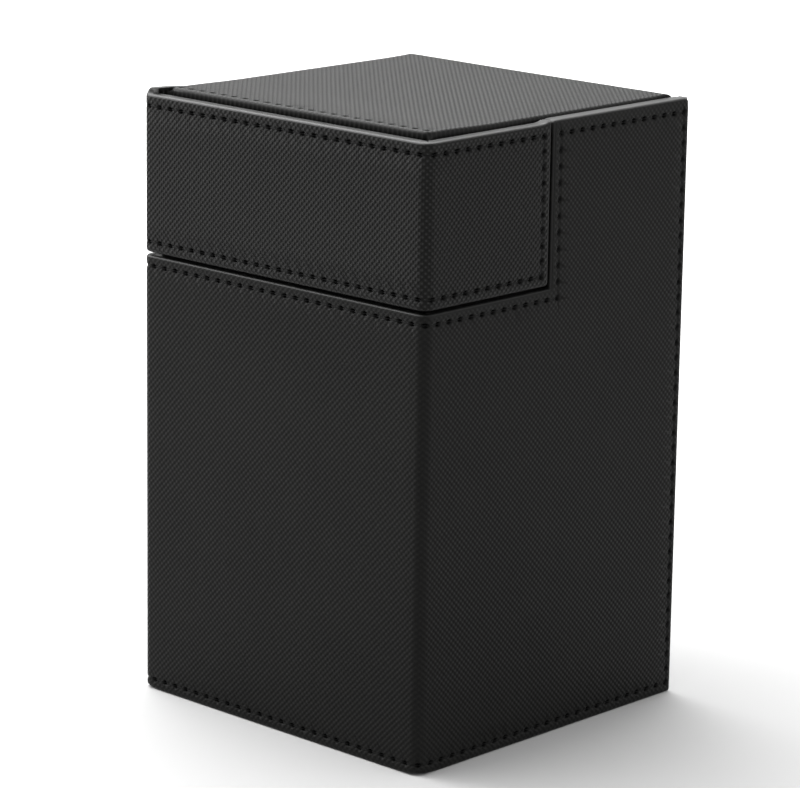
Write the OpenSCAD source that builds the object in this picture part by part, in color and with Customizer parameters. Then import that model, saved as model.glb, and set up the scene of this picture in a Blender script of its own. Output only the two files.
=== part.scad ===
// Flip-lid card deck box: a stitched leatherette shell over board, an inner box that rises
// as a collar inside the lid, a lined card well, and a lift-out accessory tray above it.
// Millimetres. X is the width, the front faces -Y, +Z is up. The origin is the middle of the base.

/* [Box] */
// Outside width
box_w = 88; // [74:0.2:108]
// Outside depth
box_d = 86; // [71:0.2:104]
// Height of the body's rim above the table
box_h = 140; // [116:0.2:170]
// Radius of the two front vertical corners, outside
corner_r = 2.5; // [1.5:0.1:5]
// Radius of the side walls' rear top corners
rear_corner_r = 2; // [1:0.1:2.4]

/* [Leatherette and boards] */
// Thickness of the outer leatherette
skin_t = 0.8; // [0.6:0.05:1]
// Thickness of the outer wall boards and the rear board
wall_board_t = 2.4; // [1.8:0.1:3.2]
// Thickness of the base board
base_board_t = 2.2; // [1.6:0.1:3.2]
// Thickness of the inner box boards
inner_board_t = 2; // [1.5:0.1:2.6]
// Thickness of the facing over the inner box
facing_t = 0.4; // [0.2:0.05:0.6]
// Thickness of the microfibre lining
lining_t = 0.6; // [0.4:0.05:0.9]

/* [Lid band] */
// Height of the lid band, front and both returns
band_h = 36; // [28:0.5:43]
// How far the band's top edge stays below the body's rim
band_drop = 0.5; // [0.2:0.05:0.8]
// Length of the band's returns along the sides, from the front face
band_return = 39.3; // [32:0.1:48]
// Open gap between the band and the body, seen from outside
seam_gap = 0.7; // [0.5:0.05:1.2]
// Clearance between the band and the collar inside it
lid_clear = 0.4; // [0.35:0.05:0.6]

/* [Lid top] */
// Thickness of the lid board
lid_board_t = 2; // [1.5:0.1:2.6]
// Thickness of the board inside the padded top panel
panel_board_t = 2; // [1.5:0.1:2.6]
// Thickness of the foam in the top panel
pad_t = 0.8; // [0.5:0.1:1.2]
// How far the top panel stands above the body's rim
panel_rise = 1; // [0.6:0.1:1.4]
// Gap beside the top panel, to each side wall
panel_side_gap = 1; // [0.7:0.05:1.5]
// Gap in front of the top panel, to the band
panel_front_gap = 1.6; // [1:0.1:2.2]
// Radius of the top panel's front corners
panel_corner_r = 2; // [1.2:0.1:4]
// Radius of the leatherette hinge bend, outside
hinge_r = 3.5; // [3.1:0.1:4.2]
// Air between the lid's lining and the collar when it is shut
lid_rest_gap = 0.3; // [0.2:0.05:0.5]

/* [Magnets] */
// Diameter of the closing magnets
magnet_d = 10; // [6:0.5:14]
// Distance between the two magnets of a pair row
magnet_pitch = 44; // [24:1:52]
// Radial clearance of a magnet in its punched hole
magnet_clear = 0.05; // [0.02:0.01:0.1]

/* [Card well] */
// Thickness of the well panels that carry the tray
well_board_t = 2; // [1.5:0.1:2.6]
// Thickness of the well's lining
well_lining_t = 0.5; // [0.3:0.05:0.8]

/* [Accessory tray] */
// Height of the tray
tray_h = 30; // [22:0.5:37]
// Thickness of the tray boards
tray_board_t = 1.5; // [1:0.1:2]
// Thickness of the tray's outer skin
tray_skin_t = 0.4; // [0.2:0.05:0.6]
// Thickness of the tray's lining
tray_lining_t = 0.4; // [0.2:0.05:0.6]
// Clearance around the tray
tray_clear = 0.6; // [0.4:0.05:1]
// How far the tray can rise under the shut lid
tray_play = 4.5; // [3:0.1:6]
// Radius of the thumb notches
notch_r = 9; // [6:0.5:12]

/* [Stitching] */
// Width of a thread row
thread_w = 0.7; // [0.5:0.05:0.9]
// Depth of a thread row in the leatherette
thread_t = 0.3; // [0.2:0.05:0.4]
// Distance from an edge to its row
stitch_inset = 2.4; // [1.6:0.1:3]
// Distance from the body's rim down to the top rows
rim_row_drop = 3.1; // [2.4:0.1:3.6]
// Distance from the rear edge to the rear rows
rear_row_inset = 1.8; // [1.4:0.1:2.4]
// Distance from the top panel's front edge to its row
panel_row_inset = 2; // [1.4:0.1:3]

/* [Hidden] */
$fn = 96;
// cuts run this far past a face
over = 1;
// shortest return of the front board around a corner
board_return = 1.8;
// the lid boards stop this far ahead of the hinge bend and the rear board
hinge_ease = 0.5;
// room at each side between the lid boards, or the rear panel, and the side walls
lid_side_ease = 0.8;
rear_side_ease = 0.4;

wall_t = skin_t + wall_board_t;
band_t = wall_t - lid_clear;
front_y = -box_d / 2;
rear_y = box_d / 2;
wall_x = box_w / 2 - wall_t;
wall_y = box_d / 2 - wall_t;

// lid band and the notch it fills
band_top = box_h - band_drop;
band_low = band_top - band_h;
band_end = front_y + band_return;
notch_z = band_low - seam_gap;
notch_y = band_end + seam_gap;
corner_y = front_y + max(corner_r, wall_t + board_return);

// lid top, from its upper face down
top_z = box_h + panel_rise;
pad_z = top_z - skin_t - pad_t;
panel_z = pad_z - panel_board_t;
lid_board_z = panel_z - lid_board_t;
lid_under = lid_board_z - lining_t;
panel_x = wall_x - panel_side_gap;
panel_y = front_y + band_t + panel_front_gap;
hinge_y = rear_y - hinge_r;
hinge_z = top_z - hinge_r;
lid_rear = min(hinge_y, wall_y) - hinge_ease;
lid_rear_x = wall_x - lid_side_ease;

// inner box
collar_top = lid_under - lid_rest_gap;
inner_x = wall_x - facing_t;
inner_y = wall_y - facing_t;
room_x = inner_x - inner_board_t;
room_y = inner_y - inner_board_t;
clear_x = room_x - lining_t;
clear_y = room_y - lining_t;
floor_z = skin_t + base_board_t;
inner_floor_top = floor_z + inner_board_t;
well_floor = inner_floor_top + lining_t;
rear_panel_x = wall_x - rear_side_ease;
rear_board_top = hinge_z - skin_t;

// accessory tray
tray_top = lid_under - tray_play - lid_rest_gap;
tray_z = tray_top - tray_h;
tray_x = clear_x - tray_clear;
tray_y = clear_y - tray_clear;
tray_in_x = tray_x - tray_skin_t;
tray_in_y = tray_y - tray_skin_t;
tray_room_x = tray_in_x - tray_board_t;
tray_room_y = tray_in_y - tray_board_t;

// stitch rows
rim_row_z = box_h - rim_row_drop;
band_row_z = band_low + stitch_inset;
band_row_y = band_end - stitch_inset;
seam_row_z = notch_z - stitch_inset;
notch_row_y = notch_y + stitch_inset;
base_row_z = stitch_inset;
rear_row_y = rear_y - rear_row_inset;

magnet_z = (band_top + band_low) / 2;

// ---- shared outlines ----

// a box from its low corner to its high corner
module block(low, high) {
  translate(low) cube(high - low);
}

// a rectangle whose two front corners are rounded, from y0 back to y1
module front_rounded(x, y0, y1, r) {
  if (r > 0.05) {
    intersection() {
      translate([-x, y0]) square([2 * x, y1 - y0]);
      union() {
        translate([-x, y0 + r]) square([2 * x, box_d]);
        translate([-x + r, y0]) square([2 * (x - r), box_d]);
        for (s = [-1, 1]) translate([s * (x - r), y0 + r]) circle(r);
      }
    }
  } else {
    translate([-x, y0]) square([2 * x, y1 - y0]);
  }
}

// the box's outline moved in by inset, back to y1
module outline(inset, y1) {
  front_rounded(box_w / 2 - inset, front_y + inset, y1, corner_r - inset);
}

// front and both sides of the outline, from inset a in to inset b, back to y1
module u_wall(a, b, y1, z0, z1) {
  translate([0, 0, z0])
    linear_extrude(z1 - z0)
      difference() {
        outline(a, y1);
        outline(b, y1 + over);
      }
}

// the padded top panel's outline moved in by inset
module panel_outline(inset, y1) {
  front_rounded(panel_x - inset, panel_y + inset, y1, panel_corner_r - inset);
}

// a pair of mirrored side blocks, from x0 out to x1
module side_blocks(x0, x1, y0, y1, z0, z1) {
  for (s = [0, 1]) mirror([s, 0, 0]) block([x0, y0, z0], [x1, y1, z1]);
}

// a rectangular tube
module tube_box(x_out, y_out, x_in, y_in, z0, z1) {
  difference() {
    block([-x_out, -y_out, z0], [x_out, y_out, z1]);
    block([-x_in, -y_in, z0 - over], [x_in, y_in, z1 + over]);
  }
}

// ---- outer shell of the body ----

module base_cover() {
  color("#1b1b1c")
    linear_extrude(skin_t) outline(wall_t, wall_y);
}

module base_board() {
  color("#7b7466")
    translate([0, 0, skin_t]) linear_extrude(base_board_t) outline(wall_t, wall_y);
}

// one side's board, with the step that clears the lid band
module side_board() {
  difference() {
    block([wall_x, corner_y, skin_t], [box_w / 2 - skin_t, rear_y - skin_t, box_h - skin_t]);
    block([wall_x - over, front_y, notch_z - skin_t], [box_w, notch_y + skin_t, box_h + over]);
  }
}

module left_board() {
  color("#7b7466") mirror([1, 0, 0]) side_board();
}

module right_board() {
  color("#7b7466") side_board();
}

module front_board() {
  color("#7b7466") u_wall(skin_t, wall_t, corner_y, skin_t, notch_z - skin_t);
}

// everything behind the rounded rear top corner of the side walls
module rear_corner_cut() {
  difference() {
    block([-box_w, rear_y - rear_corner_r, box_h - rear_corner_r], [box_w, box_d, box_h + over]);
    translate([-box_w - over, rear_y - rear_corner_r, box_h - rear_corner_r])
      rotate([0, 90, 0]) cylinder(h = 2 * box_w + 2 * over, r = rear_corner_r);
  }
}

module body_wrap() {
  color("#242424")
    difference() {
      u_wall(0, wall_t, rear_y, 0, box_h);
      block([-box_w, front_y - over, notch_z], [box_w, notch_y, box_h + over]);
      rear_corner_cut();
      front_board();
      left_board();
      right_board();
      body_stitching();
    }
}

module rear_board() {
  color("#7b7466")
    block([-rear_panel_x + skin_t, wall_y, skin_t],
      [rear_panel_x - skin_t, rear_y - skin_t, rear_board_top]);
}

module rear_cover() {
  color("#242424")
    difference() {
      block([-rear_panel_x, wall_y, 0], [rear_panel_x, rear_y, hinge_z]);
      block([-rear_panel_x + skin_t, wall_y - over, skin_t],
        [rear_panel_x - skin_t, rear_y - skin_t, box_h]);
      block([-box_w, wall_y - over, rear_board_top], [box_w, rear_y - skin_t, box_h]);
    }
}

// leatherette bend that joins the rear cover to the lid's top cover
module hinge_strip() {
  color("#242424")
    intersection() {
      translate([-panel_x, hinge_y, hinge_z])
        rotate([0, 90, 0])
          difference() {
            cylinder(h = 2 * panel_x, r = hinge_r);
            translate([0, 0, -over]) cylinder(h = 2 * panel_x + 2 * over, r = hinge_r - skin_t);
          }
      block([-box_w, hinge_y, hinge_z], [box_w, box_d, box_h * 2]);
    }
}

// ---- inner box and collar ----

module magnet_pair(y0, y1, r) {
  for (s = [-1, 1])
    translate([s * magnet_pitch / 2, y0, magnet_z])
      rotate([-90, 0, 0]) cylinder(h = y1 - y0, r = r);
}

module inner_front_board() {
  color("#7b7466")
    difference() {
      translate([0, 0, floor_z])
        linear_extrude(collar_top - facing_t - floor_z) outline(wall_t + facing_t, -room_y);
      magnet_pair(-inner_y - over, -room_y + over, magnet_d / 2 + magnet_clear);
    }
}

module inner_rear_board() {
  color("#7b7466") block([-inner_x, room_y, floor_z], [inner_x, inner_y, collar_top - facing_t]);
}

module inner_side_board() {
  block([room_x, -room_y, floor_z], [inner_x, room_y, collar_top - facing_t]);
}

module inner_left_board() {
  color("#7b7466") mirror([1, 0, 0]) inner_side_board();
}

module inner_right_board() {
  color("#7b7466") inner_side_board();
}

module inner_floor_board() {
  color("#7b7466")
    block([-room_x, -room_y, floor_z], [room_x, room_y, inner_floor_top]);
}

// facing over the outside and the top edge of the inner box
module collar_cover() {
  color("#1d1d1e")
    difference() {
      translate([0, 0, floor_z])
        linear_extrude(collar_top - floor_z) outline(wall_t, wall_y);
      translate([0, 0, floor_z - over])
        linear_extrude(collar_top - facing_t - floor_z + over)
          outline(wall_t + facing_t, inner_y);
      block([-room_x, -room_y, 0], [room_x, room_y, box_h]);
    }
}

module inner_lining() {
  color("#2c2d30")
    tube_box(room_x, room_y, clear_x, clear_y, inner_floor_top, collar_top);
}

module floor_lining() {
  color("#2c2d30")
    block([-clear_x, -clear_y, inner_floor_top], [clear_x, clear_y, well_floor]);
}

module box_magnets() {
  color("#b9bcc0") magnet_pair(-inner_y, -room_y, magnet_d / 2);
}

// ---- card well ----

well_x = clear_x - well_board_t;
well_y = clear_y - well_board_t;
well_top = tray_z - well_lining_t;

module well_front_panel() {
  color("#7b7466") block([-clear_x, -clear_y, well_floor], [clear_x, -well_y, well_top]);
}

module well_rear_panel() {
  color("#7b7466") block([-clear_x, well_y, well_floor], [clear_x, clear_y, well_top]);
}

module well_side_panel() {
  block([well_x, -well_y, well_floor], [clear_x, well_y, well_top]);
}

module well_left_panel() {
  color("#7b7466") mirror([1, 0, 0]) well_side_panel();
}

module well_right_panel() {
  color("#7b7466") well_side_panel();
}

// lining on the well's inner faces, turned over the panels' top edges
module well_lining() {
  color("#2c2d30")
    difference() {
      block([-clear_x, -clear_y, well_floor], [clear_x, clear_y, tray_z]);
      tube_box(clear_x + over, clear_y + over, well_x, well_y, well_floor - over, well_top);
      block([-well_x + well_lining_t, -well_y + well_lining_t, 0],
        [well_x - well_lining_t, well_y - well_lining_t, box_h]);
    }
}

// ---- stitching ----

// thread strip on both side faces, between two corners of the YZ plane
module side_thread(y0, y1, z0, z1) {
  side_blocks(box_w / 2 - thread_t, box_w / 2, y0 - thread_w / 2, y1 + thread_w / 2,
    z0 - thread_w / 2, z1 + thread_w / 2);
}

// thread row around the front and back to y1 on both sides
module ring_thread(z, y1) {
  u_wall(0, thread_t, y1 + thread_w / 2, z - thread_w / 2, z + thread_w / 2);
}

module body_stitching() {
  color("#0d0d0d") {
    ring_thread(base_row_z, rear_row_y);
    ring_thread(seam_row_z, notch_row_y);
    side_thread(notch_row_y, notch_row_y, seam_row_z, rim_row_z);
    side_thread(notch_row_y, rear_row_y, rim_row_z, rim_row_z);
    side_thread(rear_row_y, rear_row_y, base_row_z, rim_row_z);
  }
}

module lid_stitching() {
  color("#0d0d0d") {
    ring_thread(rim_row_z, band_row_y);
    ring_thread(band_row_z, band_row_y);
    side_thread(band_row_y, band_row_y, band_row_z, rim_row_z);
  }
}

module top_stitching() {
  color("#0d0d0d")
    block([-panel_x + panel_row_inset, panel_y + panel_row_inset - thread_w / 2, top_z - thread_t],
      [panel_x - panel_row_inset, panel_y + panel_row_inset + thread_w / 2, top_z]);
}

// ---- lid ----

module lid_front_board() {
  color("#7b7466")
    difference() {
      u_wall(skin_t, band_t, corner_y, band_low + skin_t, band_top - skin_t);
      magnet_pair(front_y, -wall_y + over, magnet_d / 2 + magnet_clear);
    }
}

module lid_side_board() {
  block([box_w / 2 - band_t, corner_y, band_low + skin_t],
    [box_w / 2 - skin_t, band_end - skin_t, band_top - skin_t]);
}

module lid_left_board() {
  color("#7b7466") mirror([1, 0, 0]) lid_side_board();
}

module lid_right_board() {
  color("#7b7466") lid_side_board();
}

module lid_band_wrap() {
  color("#2a2a2a")
    difference() {
      u_wall(0, band_t, band_end, band_low, band_top);
      u_wall(skin_t, band_t, corner_y, band_low + skin_t, band_top - skin_t);
      lid_left_board();
      lid_right_board();
      lid_stitching();
    }
}

// the lid's flat outline: full width inside the band, narrower between the side walls
module lid_outline(inset) {
  outline(band_t + inset, band_end - inset);
  translate([-lid_rear_x + inset, band_end - inset - over])
    square([2 * (lid_rear_x - inset), lid_rear - band_end + over]);
}

module lid_board() {
  color("#7b7466") translate([0, 0, lid_board_z]) linear_extrude(lid_board_t) lid_outline(0);
}

module lid_lining() {
  color("#2c2d30") translate([0, 0, lid_under]) linear_extrude(lining_t) lid_outline(lid_clear);
}

module top_panel_board() {
  color("#7b7466")
    translate([0, 0, panel_z]) linear_extrude(panel_board_t) panel_outline(skin_t, lid_rear);
}

module top_pad() {
  color("#55565a")
    translate([0, 0, pad_z]) linear_extrude(pad_t) panel_outline(skin_t, lid_rear);
}

module top_cover() {
  color("#343434")
    difference() {
      translate([0, 0, panel_z]) linear_extrude(top_z - panel_z) panel_outline(0, hinge_y);
      translate([0, 0, panel_z - over])
        linear_extrude(panel_board_t + pad_t + over) panel_outline(skin_t, hinge_y + over);
      top_stitching();
    }
}

module lid_magnets() {
  color("#b9bcc0") magnet_pair(front_y + skin_t, front_y + band_t, magnet_d / 2);
}

// ---- accessory tray ----

// half-round thumb notches through the two side walls
module thumb_notches() {
  translate([-box_w, 0, tray_top]) rotate([0, 90, 0]) cylinder(h = 2 * box_w, r = notch_r);
}

module tray_floor() {
  color("#7b7466")
    block([-tray_room_x, -tray_room_y, tray_z + tray_skin_t],
      [tray_room_x, tray_room_y, tray_z + tray_skin_t + tray_board_t]);
}

module tray_end_wall() {
  block([-tray_in_x, tray_room_y, tray_z + tray_skin_t],
    [tray_in_x, tray_in_y, tray_top - tray_skin_t]);
}

module tray_front() {
  color("#7b7466") mirror([0, 1, 0]) tray_end_wall();
}

module tray_rear() {
  color("#7b7466") tray_end_wall();
}

module tray_side_wall() {
  difference() {
    block([tray_room_x, -tray_room_y, tray_z + tray_skin_t],
      [tray_in_x, tray_room_y, tray_top - tray_skin_t]);
    thumb_notches();
  }
}

module tray_left() {
  color("#7b7466") mirror([1, 0, 0]) tray_side_wall();
}

module tray_right() {
  color("#7b7466") tray_side_wall();
}

module tray_cover() {
  color("#1d1d1e")
    difference() {
      block([-tray_x, -tray_y, tray_z], [tray_x, tray_y, tray_top]);
      block([-tray_in_x, -tray_in_y, tray_z + tray_skin_t],
        [tray_in_x, tray_in_y, tray_top - tray_skin_t]);
      block([-tray_room_x, -tray_room_y, tray_z + tray_skin_t],
        [tray_room_x, tray_room_y, tray_top + over]);
      thumb_notches();
    }
}

module tray_lining() {
  color("#2c2d30")
    difference() {
      block([-tray_room_x, -tray_room_y, tray_z + tray_skin_t + tray_board_t],
        [tray_room_x, tray_room_y, tray_top]);
      block([-tray_room_x + tray_lining_t, -tray_room_y + tray_lining_t,
          tray_z + tray_skin_t + tray_board_t + tray_lining_t],
        [tray_room_x - tray_lining_t, tray_room_y - tray_lining_t, tray_top + over]);
      thumb_notches();
    }
}

base_cover();
base_board();
body_wrap();
front_board();
left_board();
right_board();
rear_board();
rear_cover();
hinge_strip();
inner_front_board();
inner_rear_board();
inner_left_board();
inner_right_board();
inner_floor_board();
collar_cover();
inner_lining();
floor_lining();
well_front_panel();
well_rear_panel();
well_left_panel();
well_right_panel();
well_lining();
box_magnets();
body_stitching();
lid_front_board();
lid_left_board();
lid_right_board();
lid_band_wrap();
lid_board();
lid_lining();
top_panel_board();
top_pad();
top_cover();
lid_magnets();
lid_stitching();
top_stitching();
tray_floor();
tray_front();
tray_rear();
tray_left();
tray_right();
tray_cover();
tray_lining();
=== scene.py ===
"""Flip-lid card deck box: woven-grain leatherette over board, sewn along every edge, with a padded
top panel, a folding leatherette hinge, a microfibre-lined well and a lift-out tray."""

import math

import bmesh
import bpy
from mathutils import Matrix, Vector


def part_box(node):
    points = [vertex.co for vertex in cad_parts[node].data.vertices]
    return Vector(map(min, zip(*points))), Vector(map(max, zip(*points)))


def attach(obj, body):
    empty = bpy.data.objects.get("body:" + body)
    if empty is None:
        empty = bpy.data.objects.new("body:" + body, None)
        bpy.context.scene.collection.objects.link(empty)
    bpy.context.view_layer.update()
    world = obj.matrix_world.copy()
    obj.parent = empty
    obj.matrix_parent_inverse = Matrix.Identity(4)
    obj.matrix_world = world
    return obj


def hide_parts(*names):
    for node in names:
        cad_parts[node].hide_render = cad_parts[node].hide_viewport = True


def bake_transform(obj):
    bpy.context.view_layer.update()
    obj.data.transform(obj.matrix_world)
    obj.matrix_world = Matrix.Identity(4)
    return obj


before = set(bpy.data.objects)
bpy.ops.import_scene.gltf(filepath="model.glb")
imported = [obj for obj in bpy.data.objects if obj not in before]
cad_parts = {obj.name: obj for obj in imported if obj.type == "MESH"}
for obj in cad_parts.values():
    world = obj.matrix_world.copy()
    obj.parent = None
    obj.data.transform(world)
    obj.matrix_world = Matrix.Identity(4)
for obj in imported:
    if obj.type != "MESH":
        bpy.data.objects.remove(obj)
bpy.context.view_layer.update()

MM = 0.001


def corners(node):
    """A piece's lowest and highest corner, in millimetres."""
    low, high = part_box(node)
    return [c / MM for c in low], [c / MM for c in high]


# ---- sizes, in millimetres, most taken from the imported pieces ----

body_low, body_high = corners("body_wrap")
band_low, band_high = corners("lid_band_wrap")
panel_low, panel_high = corners("top_cover")
pad_low, pad_high = corners("top_pad")
rear_high = corners("rear_cover")[1]
body_rows_low, body_rows_high = corners("body_stitching")
lid_rows_low, lid_rows_high = corners("lid_stitching")
top_row_low, top_row_high = corners("top_stitching")
front_board_low, front_board_high = corners("front_board")

HALF_WIDTH = body_high[0]
FRONT = body_low[1]
REAR = body_high[1]
RIM = body_high[2]
SKIN = front_board_low[2]
CORNER = 2.5  # radius of the two upright front corners
WALL = HALF_WIDTH - corners("base_cover")[1][0]
BAND = HALF_WIDTH - corners("lid_board")[1][0]
NOTCH = front_board_high[2] + SKIN
GAP = band_low[2] - NOTCH
HINGE_R = REAR - corners("hinge_strip")[0][1]
HINGE_Z = rear_high[2]
REAR_BOARD_TOP = corners("rear_board")[1][2]

# thread rows sit half a thread in from the ends of the thread pieces
HALF_THREAD = 0.35
BASE_ROW = body_rows_low[2] + HALF_THREAD
RIM_ROW = body_rows_high[2] - HALF_THREAD
REAR_ROW_Y = body_rows_high[1] - HALF_THREAD
BAND_ROW = lid_rows_low[2] + HALF_THREAD
BAND_ROW_Y = lid_rows_high[1] - HALF_THREAD
TOP_ROW_Y = (top_row_low[1] + top_row_high[1]) / 2
SEAM_ROW = NOTCH - BASE_ROW

# ---- how the leatherette is worked ----

HEM = 0.7  # radius of a turned edge
HEM_STEPS = 6
ROW_ZONE = 0.7  # half the width of the finely modelled strip along a thread row
FINE = 0.2  # spacing of the fine lattice in that strip
COARSE = 3.6  # spacing of the lattice elsewhere
PITCH = 3.5  # from one needle hole to the next
HOLE_LONG = 0.85  # half length of a needle hole
HOLE_WIDE = 0.6  # half width
HOLE_DEEP = 0.62
HOLE_STEEP = 1.7  # how sharply a hole drops to its floor
PULL = 0.14  # how far the thread pulls the skin down along a row
PULL_WIDE = 0.62
PRESS_WIDE = 1.6  # the weave is flattened this far in from an edge
TURNED_WIDE = 0.35  # this far in from an edge the leatherette shows its turned, rubbed finish
BEND_STEPS = 8  # lattice strips round a front corner
CREASE = math.radians(50)  # a fold sharper than this keeps a crisp edge
TUCK = 0.05  # a wall's hidden inner face lies this far past its board


# ---- the wall's run: unrolled to a flat strip, 0 at the middle of the front ----

STRAIGHT = HALF_WIDTH - CORNER
BEND = math.pi / 2 * CORNER


def run_to(y):
    """Length along the wall from the middle of the front to a place on the side."""
    return STRAIGHT + BEND + y - FRONT - CORNER


def wall_point(run, z, depth):
    """The place on the wall at that run and height, depth under the surface."""
    side = math.copysign(1, run)
    along = abs(run)
    if along <= STRAIGHT:
        x, y, nx, ny = along, FRONT, 0, -1
    elif along <= STRAIGHT + BEND:
        turn = (along - STRAIGHT) / CORNER
        nx, ny = math.sin(turn), -math.cos(turn)
        x, y = STRAIGHT + CORNER * nx, FRONT + CORNER + CORNER * ny
    else:
        x, y, nx, ny = HALF_WIDTH, FRONT + CORNER + along - STRAIGHT - BEND, 1, 0
    return Vector((side * (x - nx * depth), y - ny * depth, z))


# ---- the flat lattice that every leatherette panel is cut from ----


def hem_lines(edge, inward, radius=HEM):
    """Lattice lines that follow a turned edge."""
    quarter = math.pi / 2
    return [edge + inward * radius * (1 - math.cos(quarter * k / HEM_STEPS)) for k in range(HEM_STEPS + 1)]


def spaced(stops, step=COARSE):
    """Sorted lattice lines through every stop, with wide gaps filled about a step apart."""
    stops = sorted(set(round(s, 4) for s in stops))
    lines = [stops[0]]
    for a, b in zip(stops, stops[1:]):
        n = max(1, round((b - a) / step))
        lines += [a + (b - a) * k / n for k in range(1, n + 1)]
    return lines


def both_sides(lines):
    return sorted(set([-v for v in lines] + list(lines)))


def row_zone(at):
    return [at - ROW_ZONE, at + ROW_ZONE]


class Row:
    """A straight run of stitches on a panel: level rows run along u, upright rows along v."""

    def __init__(self, level, at, start, end, pitch=PITCH):
        self.level, self.at, self.start, self.end = level, at, start, end
        self.count = max(1, round((end - start) / pitch))
        self.step = (end - start) / self.count

    def split(self, u, v):
        """How far along the row a point is, and how far beside it."""
        return (u - self.start, v - self.at) if self.level else (v - self.start, u - self.at)

    def near(self, u, v):
        along, beside = self.split(u, v)
        return abs(beside) < ROW_ZONE and -ROW_ZONE < along < self.end - self.start + ROW_ZONE

    def point(self, along, beside=0.0):
        run, across = self.start + along, self.at + beside
        return (run, across) if self.level else (across, run)

    def sink(self, u, v):
        """(depth under the surface, how deep in a needle hole from 0 to 1)."""
        along, beside = self.split(u, v)
        past = max(0.0, -along, along - (self.end - self.start))
        near = min(max(round(along / self.step), 0), self.count)
        gone = ((along - near * self.step) / HOLE_LONG) ** 2 + (beside / HOLE_WIDE) ** 2
        hole = min(1.0, HOLE_STEEP * max(0.0, 1 - gone))
        pull = max(0.0, 1 - (beside / PULL_WIDE) ** 2 - (past / PULL_WIDE) ** 2)
        return PULL * pull * pull + HOLE_DEEP * hole, hole


def rolled(distance, radius):
    """How far a turned edge has dropped at that distance in from its outline."""
    if distance >= radius:
        return 0.0
    return radius - math.sqrt(max(0.0, radius * radius - (radius - distance) ** 2))


def rounded_corner(u, v, corner, inward, radius):
    """Moves a lattice point near a square corner under a round one."""
    du, dv = (u - corner[0]) * inward[0], (v - corner[1]) * inward[1]
    if not (0 <= du < radius and 0 <= dv < radius):
        return u, v
    p, q = radius - du, radius - dv
    shrink = max(p, q) / math.hypot(p, q)
    return corner[0] + inward[0] * (radius - p * shrink), corner[1] + inward[1] * (radius - q * shrink)


def smooth(t):
    t = min(max(t, 0.0), 1.0)
    return t * t * (3 - 2 * t)


def wall_lay(u, v):
    """Where a place on a wall falls on the roll of leatherette. The bias turns round at each front
    corner."""
    corner = STRAIGHT + BEND / 2
    return (abs(u - corner) if u > -corner else 2 * corner - abs(u + corner)), v


def pieces_between(lines):
    """How many fine pieces each strip of the lattice splits into."""
    return [max(1, round((b - a) / FINE)) for a, b in zip(lines, lines[1:])]


def points_from(a, b, n):
    """n evenly spaced points from a towards b, without b."""
    return [(a[0] + (b[0] - a[0]) * k / n, a[1] + (b[1] - a[1]) * k / n) for k in range(n)]


def lay_skin(bm, flat, uv_layer, gap_to_edge, lay, turned):
    """Gives each face its finish and its place on the roll, and keeps the sharp folds crisp."""
    for face in bm.faces:
        face.smooth = True
        middle = [sum(flat[v][axis] for v in face.verts) / len(face.verts) for axis in (0, 1)]
        face.material_index = 1 if gap_to_edge(*middle) < turned else 0
        for loop in face.loops:
            loop[uv_layer].uv = lay(*flat[loop.vert])
    for edge in bm.edges:
        if len(edge.link_faces) == 2 and edge.calc_face_angle() > CREASE:
            edge.smooth = False


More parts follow.
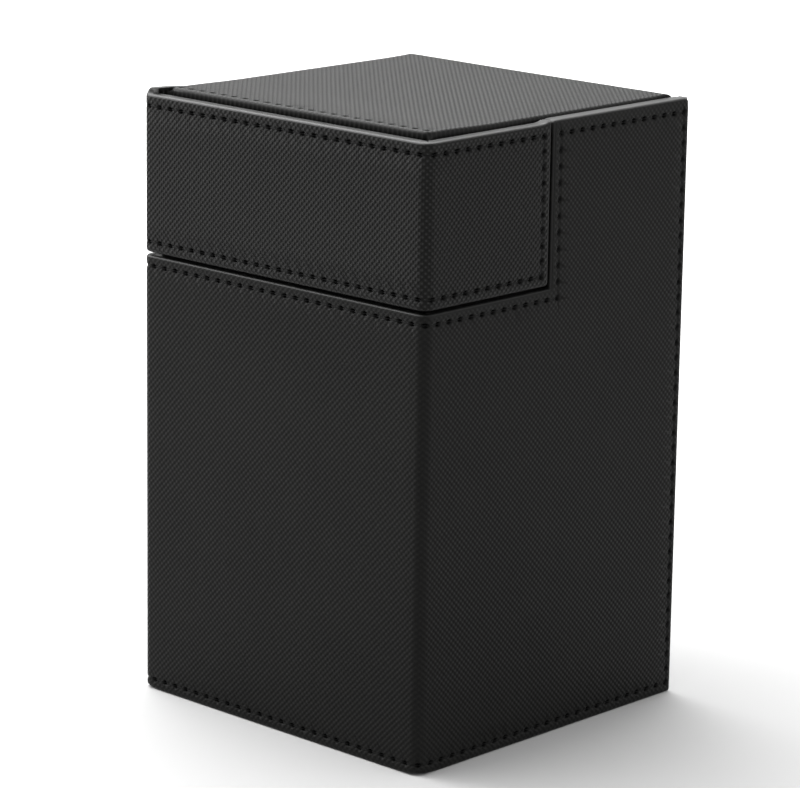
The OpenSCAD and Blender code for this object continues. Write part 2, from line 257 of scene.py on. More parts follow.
def leather_panel(
    name, us, vs, inside, gap_to_edge, trim, place, thickness, rows, edge_roll, lay, turned=0.0
):
    """A closed skin: a lattice of us by vs, fine along its thread rows, dropped at its edges by
    edge_roll(u, v, distance) and closed behind at thickness(u, v). Nearer an edge than turned, it
    takes its second finish."""
    columns, levels = len(us) - 1, len(vs) - 1
    middle_u = [(us[i] + us[i + 1]) / 2 for i in range(columns)]
    middle_v = [(vs[j] + vs[j + 1]) / 2 for j in range(levels)]
    kept = {(i, j) for i in range(columns) for j in range(levels) if inside(middle_u[i], middle_v[j])}
    fine = {c for c in kept if any(r.near(middle_u[c[0]], middle_v[c[1]]) for r in rows)}
    split_u, split_v = pieces_between(us), pieces_between(vs)

    bm = bmesh.new()
    uv_layer = bm.loops.layers.uv.new("Weave")
    hole_layer = bm.verts.layers.float.new("hole")
    press_layer = bm.verts.layers.float.new("pressed")
    flat = {}
    outer, inner = {}, {}

    def outer_vertex(u, v):
        key = (round(u, 3), round(v, 3))
        if key not in outer:
            gap = gap_to_edge(u, v)
            depth, hole = edge_roll(u, v, gap), 0.0
            for row in rows:
                if row.near(u, v):
                    more, deeper = row.sink(u, v)
                    depth = max(depth, more)
                    hole = max(hole, deeper)
            vertex = bm.verts.new(place(*trim(u, v), depth) * MM)
            vertex[hole_layer] = hole
            vertex[press_layer] = 1 - smooth(gap / PRESS_WIDE)
            outer[key] = vertex
            flat[vertex] = (u, v)
        return outer[key]

    def inner_vertex(u, v):
        key = (round(u, 3), round(v, 3))
        if key not in inner:
            vertex = bm.verts.new(place(*trim(u, v), thickness(u, v)) * MM)
            inner[key] = vertex
            flat[vertex] = (u, v)
        return inner[key]

    border = {}
    for i, j in sorted(kept):
        u0, u1, v0, v1 = us[i], us[i + 1], vs[j], vs[j + 1]
        if (i, j) in fine:
            nu, nv = split_u[i], split_v[j]
            for a in range(nu):
                for b in range(nv):
                    ua, ub = u0 + (u1 - u0) * a / nu, u0 + (u1 - u0) * (a + 1) / nu
                    va, vb = v0 + (v1 - v0) * b / nv, v0 + (v1 - v0) * (b + 1) / nv
                    bm.faces.new([outer_vertex(*p) for p in ((ua, va), (ub, va), (ub, vb), (ua, vb))])
        else:
            below = split_u[i] if (i, j - 1) in fine else 1
            above = split_u[i] if (i, j + 1) in fine else 1
            before = split_v[j] if (i - 1, j) in fine else 1
            after = split_v[j] if (i + 1, j) in fine else 1
            ring = points_from((u0, v0), (u1, v0), below) + points_from((u1, v0), (u1, v1), after)
            ring += points_from((u1, v1), (u0, v1), above) + points_from((u0, v1), (u0, v0), before)
            bm.faces.new([outer_vertex(*p) for p in ring])
        bm.faces.new([inner_vertex(*p) for p in ((u0, v0), (u0, v1), (u1, v1), (u1, v0))])
        for other, a, b in (
            ((i, j - 1), (u0, v0), (u1, v0)),
            ((i + 1, j), (u1, v0), (u1, v1)),
            ((i, j + 1), (u1, v1), (u0, v1)),
            ((i - 1, j), (u0, v1), (u0, v0)),
        ):
            if other not in kept:
                border[(a, b)] = True
    for a, b in border:
        bm.faces.new([outer_vertex(*b), outer_vertex(*a), inner_vertex(*a), inner_vertex(*b)])
    lay_skin(bm, flat, uv_layer, gap_to_edge, lay, turned)
    return mesh_object(name, bm)


def mesh_object(name, bm):
    mesh = bpy.data.meshes.new(name)
    bm.normal_update()
    bm.to_mesh(mesh)
    bm.free()
    piece = bpy.data.objects.new(name, mesh)
    bpy.context.scene.collection.objects.link(piece)
    return piece


def finish_piece(piece, body, material, slot, *nodes):
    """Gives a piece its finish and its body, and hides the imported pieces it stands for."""
    if material.name not in piece.data.materials:
        piece.data.materials.append(material)
    if material in (WEAVE, LID_WEAVE):
        piece.data.materials.append(TURNED)
    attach(piece, body)
    if nodes:
        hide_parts(*nodes)
    return piece


# ---- materials ----


def srgb(code):
    """A hex colour such as 1b1b1c as linear red, green, blue and alpha."""
    parts = [int(code[k : k + 2], 16) / 255 for k in (0, 2, 4)]
    return [p / 12.92 if p <= 0.04045 else ((p + 0.055) / 1.055) ** 2.4 for p in parts] + [1.0]


def add(tree, kind, links=None, stops=(), **settings):
    """Adds a node, sets its settings, and links or sets its inputs. The stops are a colour ramp's
    (place, hex colour) pairs."""
    made = tree.nodes.new(kind)
    if stops:
        marks = made.color_ramp.elements
        for mark, (spot, code) in zip(marks, (stops[0], stops[-1])):
            mark.position = spot
            mark.color = srgb(code)
        for spot, code in stops[1:-1]:
            marks.new(spot).color = srgb(code)
    for key, value in settings.items():
        setattr(made, key, value)
    for key, value in (links or {}).items():
        if isinstance(value, bpy.types.NodeSocket):
            tree.links.new(value, made.inputs[key])
        else:
            made.inputs[key].default_value = value
    return made


def new_material(name, **constants):
    """A Principled material, with the object's own coordinates to lay its patterns on."""
    material = bpy.data.materials.new(name)
    material.use_nodes = True
    tree = material.node_tree
    shader = tree.nodes["Principled BSDF"]
    for key, value in constants.items():
        shader.inputs[key.replace("_", " ")].default_value = value
    return material, tree, shader, add(tree, "ShaderNodeTexCoord").outputs["Object"]


def dress(tree, shader, **results):
    """Links what the nodes work out to the shader."""
    for key, socket in results.items():
        tree.links.new(socket, shader.inputs[key.replace("_", " ")])


def scale_for(spacing_mm):
    """Noise scale that gives features about that far apart, on coordinates in metres."""
    return 1 / (spacing_mm * MM)


def hem_leatherette():
    """The same leatherette where it is turned and rubbed over an edge: smooth, tight and shinier."""
    material, tree, shader, place = new_material("turned_leatherette", Specular_IOR_Level=0.2)
    rub = add(tree, "ShaderNodeTexNoise", {"Vector": place, "Scale": scale_for(2.5), "Detail": 3.0})
    height = rub.outputs["Fac"]
    tone = add(tree, "ShaderNodeValToRGB", {"Fac": height}, [(0.3, "0f0f0f"), (0.7, "161615")])
    rough = add(tree, "ShaderNodeMapRange", {"Value": height, "To Min": 0.32, "To Max": 0.5})
    bump = add(tree, "ShaderNodeBump", {"Height": height, "Distance": 0.05 * MM, "Strength": 1.0})
    dress(tree, shader, Base_Color=tone.outputs[0], Roughness=rough.outputs[0], Normal=bump.outputs[0])
    return material


WEAVE_PITCH = 1.0  # millimetres between neighbouring threads of the embossed weave
WEAVE_TURN = math.radians(45)  # the cloth is cut on the bias
WEAVE_GRIT = 0.3  # height of the fine grit beside the weave's own
WEAVE_MOTTLE_SHARE = 0.35  # how far the random mottle evens out the weave's painted glints and painted shade


def weave_height(tree, place, pressed, lean):
    """The weave's own height, 0 to 1, and the height with grit, pressed flat near the edges."""
    uv = add(tree, "ShaderNodeUVMap", uv_map="Weave").outputs[0]
    wave_scale = [2 * math.pi / WEAVE_PITCH] * 3
    links = {"Vector": uv, "Rotation": (0, 0, WEAVE_TURN), "Scale": wave_scale}
    turned = add(tree, "ShaderNodeMapping", links)
    waves = add(tree, "ShaderNodeVectorMath", {0: turned.outputs[0]}, operation="COSINE")
    crossing = add(tree, "ShaderNodeVectorMath", {0: waves.outputs[0], 1: lean}, operation="DOT_PRODUCT")
    weave = add(tree, "ShaderNodeMath", {0: crossing.outputs["Value"], 1: 0.5}, operation="ADD").outputs[0]
    grit = add(tree, "ShaderNodeTexNoise", {"Vector": place, "Scale": scale_for(0.5), "Detail": 2.0})
    links = {0: grit.outputs["Fac"], 1: WEAVE_GRIT, 2: weave}
    rough = add(tree, "ShaderNodeMath", links, operation="MULTIPLY_ADD").outputs[0]
    left = add(tree, "ShaderNodeMapRange", {"Value": pressed, "To Min": 1.0, "To Max": 0.05}).outputs[0]
    return weave, add(tree, "ShaderNodeMath", {0: rough, 1: left}, operation="MULTIPLY").outputs[0]


def woven_leatherette(name, deep, crossing_glint_tone, lean):
    """Calendered polyurethane on cloth, embossed with a plain weave laid at 45 degrees: matte black,
    with each crossing painted a lighter tone, a painted glint, and the hollows between them painted
    darker, painted shade. The weave is that many millimetres deep, and lean says how much each of its
    two thread directions stands out, in the bump and in the painted glints."""
    material, tree, shader, place = new_material(name, Specular_IOR_Level=0.07)
    pressed = add(tree, "ShaderNodeAttribute", attribute_name="pressed").outputs["Fac"]
    hole = add(tree, "ShaderNodeAttribute", attribute_name="hole").outputs["Fac"]
    weave, height = weave_height(tree, place, pressed, lean)
    # Painted glint and shade: the weave's crossings are painted lighter and its hollows darker.
    glint_shade_stops = [(0.1, "0e0e0e"), (0.6, "131312"), (0.95, crossing_glint_tone)]
    glint_shade_tone = add(tree, "ShaderNodeValToRGB", {"Fac": weave}, glint_shade_stops).outputs[0]
    cloud = add(tree, "ShaderNodeTexNoise", {"Vector": place, "Scale": scale_for(18), "Detail": 3.0})
    cloud_stops = [(0.3, "111111"), (0.7, "171716")]
    cloud_tone = add(tree, "ShaderNodeValToRGB", {"Fac": cloud.outputs["Fac"]}, cloud_stops).outputs[0]
    links = {"Factor": WEAVE_MOTTLE_SHARE, "A": glint_shade_tone, "B": cloud_tone}
    glints_and_mottle = add(tree, "ShaderNodeMix", links, data_type="RGBA").outputs["Result"]
    # Needle holes are painted near black: painted shade in the holes, on top of their modelled depth.
    links = {"Factor": hole, "A": glints_and_mottle, "B": srgb("010101")}
    tone = add(tree, "ShaderNodeMix", links, data_type="RGBA").outputs["Result"]
    rough = add(tree, "ShaderNodeMapRange", {"Value": pressed, "To Min": 0.5, "To Max": 0.34})
    bump = add(tree, "ShaderNodeBump", {"Height": height, "Distance": deep * MM, "Strength": 1.0})
    dress(tree, shader, Base_Color=tone, Roughness=rough.outputs[0], Normal=bump.outputs[0])
    return material


def plain_leatherette():
    """Thin smooth polyurethane facing with a fine pebbled grain: black, a little shinier than the
    weave."""
    material, tree, shader, place = new_material("smooth_leatherette", Specular_IOR_Level=0.3)
    pebble = add(tree, "ShaderNodeTexVoronoi", {"Vector": place, "Scale": scale_for(0.7)})
    cloud = add(tree, "ShaderNodeTexNoise", {"Vector": place, "Scale": scale_for(12), "Detail": 4.0})
    stops = [(0.3, "141415"), (0.7, "1f1f20")]
    tone = add(tree, "ShaderNodeValToRGB", {"Fac": cloud.outputs["Fac"]}, stops)
    rough = add(tree, "ShaderNodeMapRange", {"Value": cloud.outputs["Fac"], "To Min": 0.42, "To Max": 0.6})
    links = {"Height": pebble.outputs["Distance"], "Distance": 0.04 * MM, "Strength": 1.0}
    bump = add(tree, "ShaderNodeBump", links)
    dress(tree, shader, Base_Color=tone.outputs[0], Roughness=rough.outputs[0], Normal=bump.outputs[0])
    return material


def microfibre():
    """Brushed polyester suede: very matte dark grey, its short nap lying in soft lighter and darker
    drifts."""
    material, tree, shader, place = new_material(
        "brushed_microfibre", Roughness=0.95, Specular_IOR_Level=0.1, Sheen_Weight=0.2, Sheen_Roughness=0.5
    )
    nap = add(tree, "ShaderNodeTexNoise", {"Vector": place, "Scale": scale_for(0.45), "Detail": 3.0})
    drift = add(tree, "ShaderNodeTexNoise", {"Vector": place, "Scale": scale_for(9), "Detail": 2.0})
    links = {0: nap.outputs["Fac"], 1: 0.5, 2: drift.outputs["Fac"]}
    mixed = add(tree, "ShaderNodeMath", links, operation="MULTIPLY_ADD").outputs[0]
    stops = [(0.45, "27282a"), (0.75, "2c2d30"), (1.0, "333437")]
    tone = add(tree, "ShaderNodeValToRGB", {"Fac": mixed}, stops)
    links = {"Height": nap.outputs["Fac"], "Distance": 0.12 * MM, "Strength": 1.0}
    bump = add(tree, "ShaderNodeBump", links)
    dress(tree, shader, Base_Color=tone.outputs[0], Normal=bump.outputs[0])
    return material


def greyboard():
    """Greyboard with its cut edges painted black: matte charcoal, paper fibres showing darker and
    lighter."""
    material, tree, shader, place = new_material(
        "edge_painted_greyboard", Roughness=0.9, Specular_IOR_Level=0.2
    )
    stretched = add(tree, "ShaderNodeMapping", {"Vector": place, "Scale": (1.0, 0.35, 1.0)}).outputs[0]
    fibre = add(tree, "ShaderNodeTexNoise", {"Vector": stretched, "Scale": scale_for(0.9), "Detail": 6.0})
    stops = [(0.3, "1b1a19"), (0.5, "242321"), (0.72, "32302d")]
    tone = add(tree, "ShaderNodeValToRGB", {"Fac": fibre.outputs["Fac"]}, stops)
    links = {"Height": fibre.outputs["Fac"], "Distance": 0.05 * MM, "Strength": 1.0}
    bump = add(tree, "ShaderNodeBump", links)
    dress(tree, shader, Base_Color=tone.outputs[0], Normal=bump.outputs[0])
    return material


def foam():
    """Open-cell polyurethane foam: dull grey with fine round cells."""
    material, tree, shader, place = new_material("open_cell_foam", Roughness=1.0)
    cell = add(tree, "ShaderNodeTexVoronoi", {"Vector": place, "Scale": scale_for(0.6)})
    # Painted shade: each cell is painted darker in its hollow than on its rim.
    stops = [(0.1, "34353a"), (0.6, "63646a")]
    tone = add(tree, "ShaderNodeValToRGB", {"Fac": cell.outputs["Distance"]}, stops)
    links = {"Height": cell.outputs["Distance"], "Distance": 0.15 * MM, "Strength": 1.0}
    bump = add(tree, "ShaderNodeBump", links)
    dress(tree, shader, Base_Color=tone.outputs[0], Normal=bump.outputs[0])
    return material


def nickel():
    """Nickel plating on a pressed magnet: bright metal with duller patches."""
    material, tree, shader, place = new_material("nickel_plate", Metallic=1.0)
    haze = add(tree, "ShaderNodeTexNoise", {"Vector": place, "Scale": scale_for(1.5), "Detail": 5.0})
    tone = add(tree, "ShaderNodeValToRGB", {"Fac": haze.outputs["Fac"]}, [(0.3, "a9adb2"), (0.7, "c9ccd0")])
    rough = add(tree, "ShaderNodeMapRange", {"Value": haze.outputs["Fac"], "To Min": 0.18, "To Max": 0.4})
    dress(tree, shader, Base_Color=tone.outputs[0], Roughness=rough.outputs[0])
    return material


def thread():
    """Bonded polyester sewing thread: black and a little uneven, with a dull waxed shine."""
    material, tree, shader, place = new_material("bonded_thread", Roughness=0.55, Specular_IOR_Level=0.1)
    ply = add(tree, "ShaderNodeTexNoise", {"Vector": place, "Scale": scale_for(0.3), "Detail": 2.0})
    tone = add(tree, "ShaderNodeValToRGB", {"Fac": ply.outputs["Fac"]}, [(0.3, "050505"), (0.7, "0d0d0d")])
    links = {"Height": ply.outputs["Fac"], "Distance": 0.06 * MM, "Strength": 1.0}
    bump = add(tree, "ShaderNodeBump", links)
    dress(tree, shader, Base_Color=tone.outputs[0], Normal=bump.outputs[0])
    return material


# Three copies of one leatherette: the lid band's and the top's crossings are painted lighter than the
# body's, brighter painted glints where the light from above is stronger.
WEAVE = woven_leatherette("woven_leatherette", 0.15, "1a1a19", (0.18, 0.32, 0))
LID_WEAVE = woven_leatherette("lid_woven_leatherette", 0.28, "303030", (0.235, 0.265, 0))
TOP_WEAVE = woven_leatherette("top_woven_leatherette", 0.24, "242423", (0.15, 0.35, 0))
TURNED = hem_leatherette()
FACING = plain_leatherette()
SUEDE = microfibre()
BOARD = greyboard()
FOAM = foam()
NICKEL = nickel()
THREAD = thread()


# ---- body wrap: front and both sides in one skin, with the step that clears the lid band ----

RUN_REAR = run_to(REAR)
RUN_NOTCH = run_to(band_high[1] + GAP)
REAR_TOP_R = 1.3  # the side walls' rear top corners
TAB_R = 1.0  # the side walls' front top corners
FOOT_LIFT = 0.5  # the skin is tucked up this much under each front corner
FOOT_WIDE = 2.6
LEFT_DROP = 0.45  # the left side's rim is turned in a little lower than the right one's

body_rows = [
    Row(True, BASE_ROW, -run_to(REAR_ROW_Y), run_to(REAR_ROW_Y)),
    Row(True, SEAM_ROW, -RUN_NOTCH - BASE_ROW, RUN_NOTCH + BASE_ROW),
]
for way in (-1, 1):
    ends = sorted((way * (RUN_NOTCH + BASE_ROW), way * run_to(REAR_ROW_Y)))
    body_rows += [
        Row(True, RIM_ROW, *ends),
        Row(False, way * (RUN_NOTCH + BASE_ROW), SEAM_ROW, RIM_ROW),
        Row(False, way * run_to(REAR_ROW_Y), BASE_ROW, RIM_ROW),
    ]


def body_gap(u, v):
    """Distance in from the body wrap's outline."""
    along = abs(u)
    gap = min(v, RUN_REAR - along)
    if along <= RUN_NOTCH:
        return min(gap, NOTCH - v)
    if v < NOTCH:
        return min(gap, math.hypot(along - RUN_NOTCH, NOTCH - v))
    return min(gap, RIM - v, along - RUN_NOTCH)


def body_trim(u, v):
    way = math.copysign(1, u)
    near_corner = math.exp(-(((abs(u) - STRAIGHT - BEND / 2) / FOOT_WIDE) ** 2))
    lift = FOOT_LIFT * near_corner * (1 - smooth(v / FOOT_WIDE))
    u, v = rounded_corner(u, v, (way * RUN_REAR, RIM), (-way, -1), REAR_TOP_R)
    u, v = rounded_corner(u, v, (way * RUN_REAR, 0), (-way, 1), HEM)
    u, v = rounded_corner(u, v, (way * RUN_NOTCH, RIM), (way, -1), TAB_R)
    if u < -RUN_NOTCH:
        v -= LEFT_DROP * smooth((v - RIM_ROW) / (RIM - RIM_ROW))
    return u, v + lift


def build_body_wrap():
    bends = [STRAIGHT + BEND * k / BEND_STEPS for k in range(BEND_STEPS + 1)]
    us = [0.0] + bends + hem_lines(RUN_NOTCH, 1) + row_zone(RUN_NOTCH + BASE_ROW)
    us += row_zone(run_to(REAR_ROW_Y)) + hem_lines(RUN_REAR, -1)
    vs = hem_lines(0, 1) + row_zone(BASE_ROW) + row_zone(SEAM_ROW) + hem_lines(NOTCH, -1)
    vs += row_zone(RIM_ROW) + hem_lines(RIM, -1)
    piece = leather_panel(
        "body_wrap_skin",
        both_sides(spaced(us)),
        spaced(vs),
        lambda u, v: abs(u) > RUN_NOTCH or v < NOTCH,
        body_gap,
        body_trim,
        wall_point,
        lambda u, v: WALL + TUCK,
        body_rows,
        lambda u, v, gap: rolled(gap, HEM),
        wall_lay,
        TURNED_WIDE,
    )
    return finish_piece(piece, "box", WEAVE, "leatherette", "body_wrap")


# ---- lid band wrap ----

RUN_BAND = run_to(band_high[1])
RUN_BAND_ROW = run_to(BAND_ROW_Y)
TOP = panel_high[2]
TAB_RISE = RIM - band_high[2]  # the band's end, past its upright row, steps up to the body's rim
TAB_FROM = 0.4  # the step begins this far behind the upright row
TAB_LONG = 0.9
BUNCH_RISE = min(1.2, TOP - 0.1 - band_high[2])  # how far the skin stands up behind the left front corner
BUNCH_START = 2.0
BUNCH_LONG = 17.0  # and how far back it takes to lie down again

band_rows = [
    Row(True, RIM_ROW, -RUN_BAND_ROW, RUN_BAND_ROW),
    Row(True, BAND_ROW, -RUN_BAND_ROW, RUN_BAND_ROW),
    Row(False, -RUN_BAND_ROW, BAND_ROW, RIM_ROW),
    Row(False, RUN_BAND_ROW, BAND_ROW, RIM_ROW),
]


def band_gap(u, v):
    return min(RUN_BAND - abs(u), v - band_low[2], band_high[2] - v)


def band_trim(u, v):
    way = math.copysign(1, u)
    tab = smooth((u - RUN_BAND_ROW - TAB_FROM) / TAB_LONG)
    if u < 0:
        back = -u - STRAIGHT - BEND
        bunched = smooth((back + BUNCH_START) / BUNCH_START) * (1 - smooth(back / BUNCH_LONG))
        v += BUNCH_RISE * bunched * smooth((v - RIM_ROW) / (band_high[2] - RIM_ROW))
    u, v = rounded_corner(u, v, (way * RUN_BAND, band_high[2]), (-way, -1), TAB_R)
    u, v = rounded_corner(u, v, (way * RUN_BAND, band_low[2]), (-way, 1), TAB_R)
    return u, v + TAB_RISE * tab * smooth((v - RIM_ROW) / (band_high[2] - RIM_ROW))


def build_band_wrap():
    bends = [STRAIGHT + BEND * k / BEND_STEPS for k in range(BEND_STEPS + 1)]
    us = [0.0] + bends + row_zone(RUN_BAND_ROW) + hem_lines(RUN_BAND, -1)
    vs = hem_lines(band_low[2], 1) + row_zone(BAND_ROW)
    vs += row_zone(RIM_ROW) + hem_lines(band_high[2], -1)
    piece = leather_panel(
        "lid_band_skin",
        both_sides(spaced(us)),
        spaced(vs),
        lambda u, v: True,
        band_gap,
        band_trim,
        wall_point,
        lambda u, v: BAND + TUCK,
        band_rows,
        lambda u, v, gap: rolled(gap, HEM),
        wall_lay,
        TURNED_WIDE,
    )
    return finish_piece(piece, "lid", LID_WEAVE, "leatherette", "lid_band_wrap")


# ---- rear cover ----


def build_rear_cover():
    """Skin over the rear board, its sides and foot turned in, thinning to one layer for the hinge."""
    half = rear_high[0]

    def gap(x, z):
        return min(half - abs(x), z)

    def trim(x, z):
        return rounded_corner(x, z, (math.copysign(half, x), 0), (-math.copysign(1, x), 1), HEM)

    def behind(x, z):
        return SKIN + (WALL + TUCK - SKIN) * smooth((REAR_BOARD_TOP - z) / SKIN + 0.5)

    xs = both_sides(spaced([0.0] + hem_lines(half, -1)))
    zs = spaced(hem_lines(0, 1) + [REAR_BOARD_TOP - SKIN, REAR_BOARD_TOP, HINGE_Z])
    piece = leather_panel(
        "rear_cover_skin",
        xs,
        zs,
        lambda x, z: True,
        gap,
        trim,
        lambda x, z, depth: Vector((-x, REAR - depth, z)),
        behind,
        [],
        lambda x, z, distance: rolled(distance, HEM),
        lambda x, z: (x, z),
    )
    return finish_piece(piece, "box", WEAVE, "leatherette", "rear_cover")


# ---- padded top panel and the hinge bend, one skin ----

TOP_ROLL = 0.9  # radius of the padded edge
TOP_CORNER = 2.0
TOP_SAG = 0.12  # the foam lets the skin down this much near its edges
SAG_WIDE = 10.0
LEAN = 0.4  # the panel lies this much lower behind its front edge
LEFT_LIFT = 0.15  # but this much less along its left side
LEAN_FROM = 4.0
LEAN_TO = 22.0
TOP_RUN = panel_high[1] - panel_low[1]
HINGE_RUN = math.pi / 2 * HINGE_R
HINGE_STEPS = 12  # lattice strips round the hinge bend
THIN_FROM = TOP_RUN - 4.0  # the panel thins to one hemmed layer between here
THIN_TO = TOP_RUN - 0.8  # and here


def top_point(x, run, depth):
    """The place on the lid's top or hinge bend at that run back from its front edge."""
    settled = smooth((run - LEAN_FROM) / (LEAN_TO - LEAN_FROM))
    settled *= 1 - smooth((run - TOP_RUN) / HINGE_RUN)
    depth += settled * (LEAN - LEFT_LIFT * smooth(-x / panel_high[0]))
    if run <= TOP_RUN:
        return Vector((x, panel_low[1] + run, TOP - depth))
    turn = (run - TOP_RUN) / HINGE_R
    reach = HINGE_R - depth
    return Vector((x, panel_high[1] + reach * math.sin(turn), HINGE_Z + reach * math.cos(turn)))


def build_top_cover():
    half = panel_high[0]

    def gap(x, run):
        return min(half - abs(x), run)

    def trim(x, run):
        way = math.copysign(1, x)
        return rounded_corner(x, run, (way * half, 0), (-way, 1), TOP_CORNER)

    def thinned(run):
        return smooth((run - THIN_FROM) / (THIN_TO - THIN_FROM))

    def behind(x, run):
        return SKIN + (TOP - panel_low[2] - SKIN) * (1 - thinned(run))

    def roll(x, run, distance):
        radius = TOP_ROLL + (SKIN / 2 - TOP_ROLL) * thinned(run)
        ahead_of_hinge = 1 - smooth((run - TOP_RUN + SAG_WIDE) / SAG_WIDE)
        sag = TOP_SAG * (1 - smooth(distance / SAG_WIDE)) * ahead_of_hinge
        return rolled(distance, radius) + sag

    row_run = TOP_ROW_Y - panel_low[1]
    row = Row(True, row_run, top_row_low[0], top_row_high[0])
    xs = both_sides(spaced([0.0] + hem_lines(half, -1, TOP_ROLL) + [half - TOP_CORNER]))
    front = [r for r in hem_lines(0, 1, TOP_ROLL) if r < row_run - ROW_ZONE]
    runs = front + row_zone(row_run) + [TOP_CORNER, THIN_FROM, TOP_RUN]
    runs += [TOP_RUN + HINGE_RUN * k / HINGE_STEPS for k in range(1, HINGE_STEPS + 1)]
    piece = leather_panel(
        "top_cover_skin",
        xs,
        spaced(runs),
        lambda x, run: True,
        gap,
        trim,
        top_point,
        behind,
        [row],
        roll,
        lambda x, run: (x, run),
    )
    piece.data.materials.append(TOP_WEAVE)
    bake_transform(piece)
    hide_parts("top_cover", "hinge_strip")
    return row


# ---- foam under the top skin ----

PAD_EDGE = 0.6  # the pad's pressed edge is rounded over this share of its depth
PAD_SAG = 0.2  # and sags by this share
PAD_LINE = 2.0  # where the first lattice line inside the edge lies


def build_top_pad():
    """Foam sheet, crowned in the middle, with its cut edges pressed round by the skin."""
    half, length = pad_high[0], pad_high[1] - pad_low[1]
    deep = pad_high[2] - pad_low[2]

    def gap(x, run):
        return min(half - abs(x), run, length - run)

    def trim(x, run):
        way = math.copysign(1, x)
        x, run = rounded_corner(x, run, (way * half, 0), (-way, 1), TOP_CORNER - SKIN)
        return rounded_corner(x, run, (way * half, length), (-way, -1), SKIN)

    def roll(x, run, distance):
        return rolled(distance, edge) + PAD_SAG * deep * (1 - smooth(distance / SAG_WIDE))

    edge = deep * PAD_EDGE
    xs = both_sides(spaced([0.0] + hem_lines(half, -1, edge) + [half - PAD_LINE]))
    runs = spaced(hem_lines(0, 1, edge) + [PAD_LINE, length - PAD_LINE] + hem_lines(length, -1, edge))
    piece = leather_panel(
        "top_pad_foam",
        xs,
        runs,
        lambda x, run: True,
        gap,
        trim,
        lambda x, run, depth: Vector((x, pad_low[1] + run, pad_high[2] - depth)),
        lambda x, run: deep,
        [],
        roll,
        lambda x, run: (x, run),
    )
    finish_piece(piece, "lid", FOAM, "foam", "top_pad")


# ---- stitches ----

STITCH_STEPS = 8
THREAD_R = 0.18
THREAD_LIE = 0.24  # the thread's middle lies this far under the surface
THREAD_DIP = 0.75  # and this far at a needle hole
DIP_POWER = 4  # how late the thread dives into its hole
TOP_THREAD_DEEPER = 0.1  # the padded panel takes its thread in this much further
THREAD_SIDES = 6


def thread_tree():
    """Sweeps a round thread along each stitch's path."""
    tree = bpy.data.node_groups.new("sewn_thread", "GeometryNodeTree")
    face = tree.interface
    face.new_socket("Geometry", in_out="OUTPUT", socket_type="NodeSocketGeometry")
    face.new_socket("Geometry", in_out="INPUT", socket_type="NodeSocketGeometry")
    face.new_socket("Thread radius", in_out="INPUT", socket_type="NodeSocketFloat")
    face.new_socket("Thread sides", in_out="INPUT", socket_type="NodeSocketInt")
    face.new_socket("Thread finish", in_out="INPUT", socket_type="NodeSocketMaterial")
    given = add(tree, "NodeGroupInput")
    paths = add(tree, "GeometryNodeMeshToCurve", {"Mesh": given.outputs["Geometry"]})
    ring = add(
        tree,
        "GeometryNodeCurvePrimitiveCircle",
        {"Resolution": given.outputs["Thread sides"], "Radius": given.outputs["Thread radius"]},
    )
    swept = add(
        tree,
        "GeometryNodeCurveToMesh",
        {"Curve": paths.outputs[0], "Profile Curve": ring.outputs[0], "Fill Caps": True},
    )
    shaded = add(tree, "GeometryNodeSetShadeSmooth", {"Geometry": swept.outputs[0], "Shade Smooth": True})
    real = add(tree, "GeometryNodeRealizeInstances", {"Geometry": shaded.outputs[0]})
    finished = add(
        tree,
        "GeometryNodeSetMaterial",
        {"Geometry": real.outputs[0], "Material": given.outputs["Thread finish"]},
    )
    add(tree, "NodeGroupOutput", {"Geometry": finished.outputs[0]})
    return tree


THREAD_TREE = thread_tree()


def top_thread_point(x, run, depth):
    return top_point(x, run, depth + TOP_THREAD_DEEPER)


def sew(name, rows, place, body, node):
    """Lays one stitch between each two needle holes of the rows."""
    bm = bmesh.new()
    for row in rows:
        for k in range(row.count):
            last = None
            for s in range(STITCH_STEPS + 1):
                t = s / STITCH_STEPS
                dip = (2 * t - 1) ** DIP_POWER
                u, v = row.point((k + t) * row.step)
                depth = THREAD_LIE + (THREAD_DIP - THREAD_LIE) * dip
                vertex = bm.verts.new(place(u, v, depth) * MM)
                if last:
                    bm.edges.new((last, vertex))
                last = vertex
    paths = mesh_object(name, bm)
    modifier = paths.modifiers.new("sew", "NODES")
    modifier.node_group = THREAD_TREE
    settings = {"Thread radius": THREAD_R * MM, "Thread sides": THREAD_SIDES, "Thread finish": THREAD}
    for item in THREAD_TREE.interface.items_tree:
        if item.name in settings:
            modifier[item.identifier] = settings[item.name]
    bpy.context.view_layer.update()
    shaped = paths.evaluated_get(bpy.context.evaluated_depsgraph_get())
    mesh = bpy.data.meshes.new_from_object(shaped)
    paths.modifiers.clear()
    paths.data = mesh
    mesh.name = name
    return finish_piece(paths, body, THREAD, "thread", node)


# ---- facings and linings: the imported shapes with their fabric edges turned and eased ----

EASE_STEPS = 3
EASE_FOLD = math.radians(35)  # folds sharper than this are eased
EASE_CRISP = math.radians(40)  # folds that stay sharper than this keep a crisp edge
SAME_PLANE = math.radians(0.5)


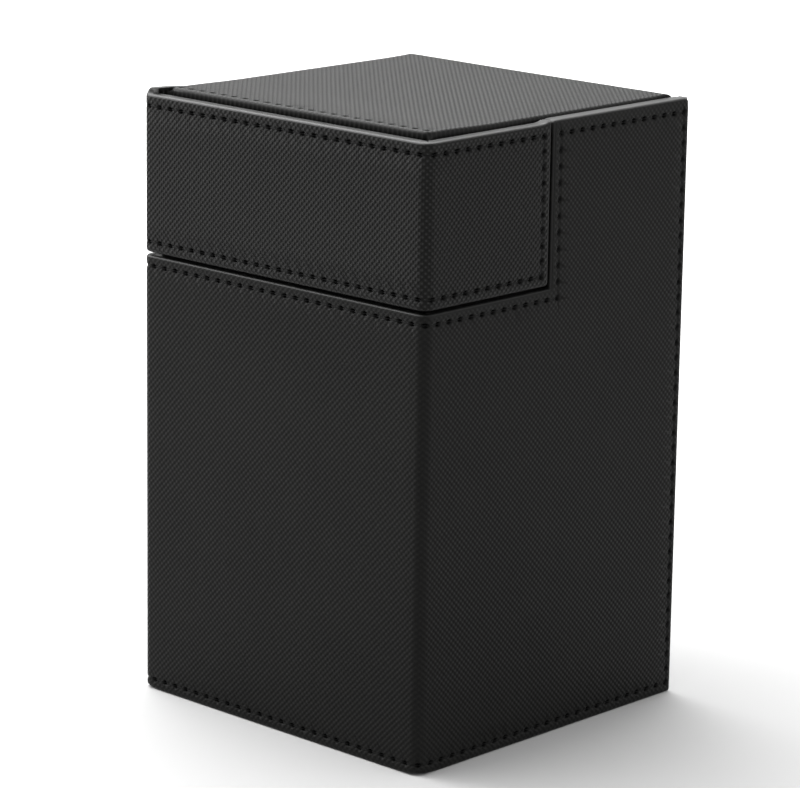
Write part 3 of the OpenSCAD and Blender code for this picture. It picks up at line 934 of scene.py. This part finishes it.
def eased(node, body, material, slot, width):
    """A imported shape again, with its turned edges rounded to that width."""
    bm = bmesh.new()
    bm.from_mesh(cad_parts[node].data)
    bmesh.ops.remove_doubles(bm, verts=bm.verts, dist=0.001 * MM)
    bmesh.ops.dissolve_limit(bm, angle_limit=SAME_PLANE, verts=bm.verts, edges=bm.edges)
    piece = mesh_object(node + "_eased", bm)
    bevel = piece.modifiers.new("turned edge", "BEVEL")
    bevel.width = width * MM
    bevel.segments = EASE_STEPS
    bevel.limit_method = "ANGLE"
    bevel.angle_limit = EASE_FOLD
    bevel.harden_normals = False
    bpy.context.view_layer.update()
    shaped = piece.evaluated_get(bpy.context.evaluated_depsgraph_get())
    eased_mesh = bpy.data.meshes.new_from_object(shaped)
    piece.modifiers.clear()
    piece.data = eased_mesh
    for face in eased_mesh.polygons:
        face.use_smooth = True
    for edge in eased_mesh.edges:
        edge.use_edge_sharp = False
    eased_mesh.set_sharp_from_angle(angle=EASE_CRISP)
    return finish_piece(piece, body, material, slot, node)


build_body_wrap()
build_band_wrap()
build_rear_cover()
top_row = build_top_cover()
build_top_pad()
sew("body_thread", body_rows, wall_point, "box", "body_stitching")
sew("lid_thread", band_rows, wall_point, "lid", "lid_stitching")
sew("top_thread", [top_row], top_thread_point, "lid", "top_stitching")

for node, body, material, slot, width in (
    ("base_cover", "box", FACING, "smooth_leatherette", 0.3),
    ("collar_cover", "box", FACING, "smooth_leatherette", 0.18),
    ("inner_lining", "box", SUEDE, "microfibre", 0.25),
    ("floor_lining", "box", SUEDE, "microfibre", 0.25),
    ("well_lining", "box", SUEDE, "microfibre", 0.22),
    ("lid_lining", "lid", SUEDE, "microfibre", 0.25),
    ("tray_cover", "tray", FACING, "smooth_leatherette", 0.18),
    ("tray_lining", "tray", SUEDE, "microfibre", 0.18),
):
    eased(node, body, material, slot, width)

for node_name, node_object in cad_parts.items():
    if node_name.endswith("magnets"):
        finish = NICKEL
    elif "board" in node_name or "panel" in node_name or node_name.startswith("tray_"):
        finish = BOARD
    else:
        continue
    for place in node_object.material_slots:
        place.material = finish


# ---- camera, floor and light ----

CAMERA_SPOT = Vector((0.55927, -0.59500, 0.27262))
CAMERA_HEADING = math.radians(43.41)
CAMERA_DIP = math.radians(13.89)
CAMERA_LEAN = math.radians(0.85)
CAMERA_LENS = 165.4
CAMERA_SENSOR = 36
FLOOR_HALF = 3.0  # metres from the middle to the floor's edge
FLOOR_SHADE_TONES = [(0.0, "b4b4b4"), (0.2, "b6b6b6"), (0.5, "c2c2c2"), (1.0, "f6f6f6")]  # by metres out; the grey near the middle is painted shade under the box
FLOOR_MOTTLE = 0.02


def aim_camera():
    """Long lens, a little above the rim, turned to the front right corner."""
    heading, dip, lean = CAMERA_HEADING, CAMERA_DIP, CAMERA_LEAN
    level = math.cos(dip)
    forward = Vector((-math.sin(heading) * level, math.cos(heading) * level, -math.sin(dip)))
    right = Vector((math.cos(heading), math.sin(heading), 0))
    up = right.cross(forward)
    tilted_right = math.cos(lean) * right + math.sin(lean) * up
    tilted_up = math.cos(lean) * up - math.sin(lean) * right
    lens = bpy.data.cameras.new("camera")
    lens.lens = CAMERA_LENS
    lens.sensor_width = CAMERA_SENSOR
    lens.clip_start, lens.clip_end = 0.05, 20
    camera = bpy.data.objects.new("camera", lens)
    bpy.context.scene.collection.objects.link(camera)
    turned = Matrix((tilted_right, tilted_up, -forward)).transposed().to_4x4()
    camera.matrix_world = Matrix.Translation(CAMERA_SPOT) @ turned
    bpy.context.scene.camera = camera


def studio():
    """White surroundings, white paper painted grey towards the middle as painted shade under the box, and
    four soft lamps.
    """
    world = bpy.data.worlds.new("studio")
    world.use_nodes = True
    world.node_tree.nodes["Background"].inputs["Color"].default_value = (1, 1, 1, 1)
    world.node_tree.nodes["Background"].inputs["Strength"].default_value = 1.0
    bpy.context.scene.world = world

    bm = bmesh.new()
    bmesh.ops.create_grid(bm, x_segments=8, y_segments=8, size=FLOOR_HALF)
    floor = mesh_object("floor", bm)
    paper, tree, shader, place = new_material("white_paper", Roughness=0.95, Specular_IOR_Level=0.0)
    away = add(tree, "ShaderNodeVectorMath", {0: place}, operation="LENGTH").outputs["Value"]
    mottle = add(tree, "ShaderNodeTexNoise", {"Vector": place, "Scale": 30.0, "Detail": 2.0})
    links = {0: mottle.outputs["Fac"], 1: FLOOR_MOTTLE, 2: away}
    spread = add(tree, "ShaderNodeMath", links, operation="MULTIPLY_ADD").outputs[0]
    # Painted shade: the paper's tone runs from grey under the box to near white a metre out.
    tone = add(tree, "ShaderNodeValToRGB", {"Fac": spread}, FLOOR_SHADE_TONES)
    dress(tree, shader, Base_Color=tone.outputs["Color"])
    floor.data.materials.append(paper)

    for name, spot, size, power, toward in (
        ("overhead softbox", (-0.42, 0.1, 0.62), 0.9, 16.5, (0, 0, -1)),
        ("left softbox", (-0.75, -0.3, 0.42), 0.35, 3.0, (0.75, 0.3, -0.35)),
        ("right fill", (0.8, 0.3, 0.25), 0.6, 1.5, (-0.8, -0.3, -0.15)),
        ("back strip", (-0.75, 0.8, 0.38), 0.6, 0.45, (0.75, -0.8, -0.25)),
    ):
        lamp = bpy.data.lights.new(name, "AREA")
        lamp.shape = "SQUARE"
        lamp.size = size
        lamp.energy = power
        holder = bpy.data.objects.new(name, lamp)
        holder.location = spot
        holder.rotation_mode = "QUATERNION"
        holder.rotation_quaternion = Vector(toward).to_track_quat("-Z", "Y")
        bpy.context.scene.collection.objects.link(holder)
    bpy.context.scene.view_settings.view_transform = "Standard"


aim_camera()
studio()
